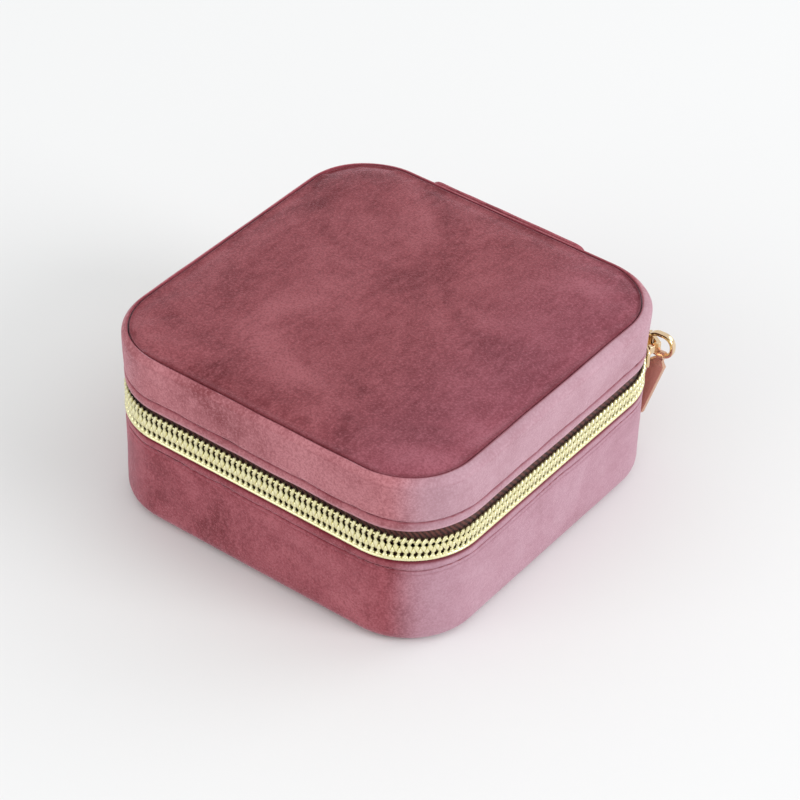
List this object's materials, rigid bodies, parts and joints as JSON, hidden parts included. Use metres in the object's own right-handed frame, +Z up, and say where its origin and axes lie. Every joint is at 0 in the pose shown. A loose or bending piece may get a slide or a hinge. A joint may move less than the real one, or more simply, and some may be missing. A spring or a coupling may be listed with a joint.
{
  "type": "travel jewelry case",
  "caption": "Square velvet travel jewelry case with a zip round three sides, a hinged mirror lid, ring rolls and small compartments.",
  "frame": {"origin": "centre of the case's footprint on its underside; the fabric hinge strip and the puller stand out past it", "axes": "+Z up, +Y towards the fabric hinge at the back, +X to the right when the zip's long front is towards the viewer"},
  "size_m": [0.1008, 0.1047, 0.0494],
  "materials": {
    "rose_velvet": "short cut-pile velvet with a pink sheen",
    "lining_velvet": "fine velvet lining, matt",
    "grey_board": "pressed board, hidden under the cloth",
    "soft_foam": "soft open foam, hidden under the cloth",
    "zip_tape": "woven tape, dark",
    "zip_coil": "pale gold coated coil",
    "mirror_glass": "plain mirror glass with a ground edge",
    "rose_gold": "warm rose gold plating, polished"
  },
  "bodies": {
    "base": {"base_bottom_cover": "rose_velvet", "base_wall_cover": "rose_velvet", "base_bottom_board": "grey_board", "base_wall_board": "grey_board", "base_lining": "lining_velvet", "zip_lower_tape": "zip_tape", "zip_lower_coil": "zip_coil", "zip_lower_top_stop": "zip_coil", "hinge_patch_base": "rose_velvet", "hinge_patch_fold": "rose_velvet", "hinge_inner_lining": "lining_velvet", "long_divider": "lining_velvet", "short_divider_1": "lining_velvet", "short_divider_2": "lining_velvet", "ring_roll_1": "lining_velvet", "ring_roll_2": "lining_velvet", "ring_roll_3": "lining_velvet", "ring_roll_4": "lining_velvet", "ring_roll_5": "lining_velvet", "ring_roll_6": "lining_velvet"},
    "lid": {"zip_upper_tape": "zip_tape", "zip_upper_coil": "zip_coil", "zip_upper_top_stop": "zip_coil", "lid_wall_cover": "rose_velvet", "lid_top_cover": "rose_velvet", "lid_top_foam": "soft_foam", "lid_top_board": "grey_board", "lid_wall_board": "grey_board", "lid_lining": "lining_velvet", "mirror_board": "grey_board", "mirror": "mirror_glass", "mirror_frame": "lining_velvet", "hinge_patch_lid": "rose_velvet"},
    "slider": {"slider_plate": "rose_gold", "slider_crown": "rose_gold"},
    "puller_ring": {"puller_ring": "rose_gold"},
    "puller_tab": {"puller_tab": "rose_gold"}
  },
  "joints": [
    {"name": "lid_hinge", "type": "hinge", "parent": "base", "child": "lid", "pos_m": [0, 0.0526, 0.033], "axis": [-1, 0, 0], "range_deg": [0, 165], "deforming": ["hinge_patch_fold", "hinge_inner_lining"]},
    {"name": "slider_track", "type": "hinge", "parent": "base", "child": "slider", "pos_m": [0.031, 0.03175, 0.02905], "axis": [0, 0, 1], "range_deg": [-35, 0]},
    {"name": "ring_pivot", "type": "hinge", "parent": "slider", "child": "puller_ring", "pos_m": [0.04266, 0.05041, 0.03155], "axis": [0, 0, -1], "range_deg": [-60, 20]},
    {"name": "tab_pivot", "type": "hinge", "parent": "puller_ring", "child": "puller_tab", "pos_m": [0.04625, 0.0506, 0.02855], "axis": [0.9986, 0.0523, 0], "range_deg": [0, 45]}
  ]
}
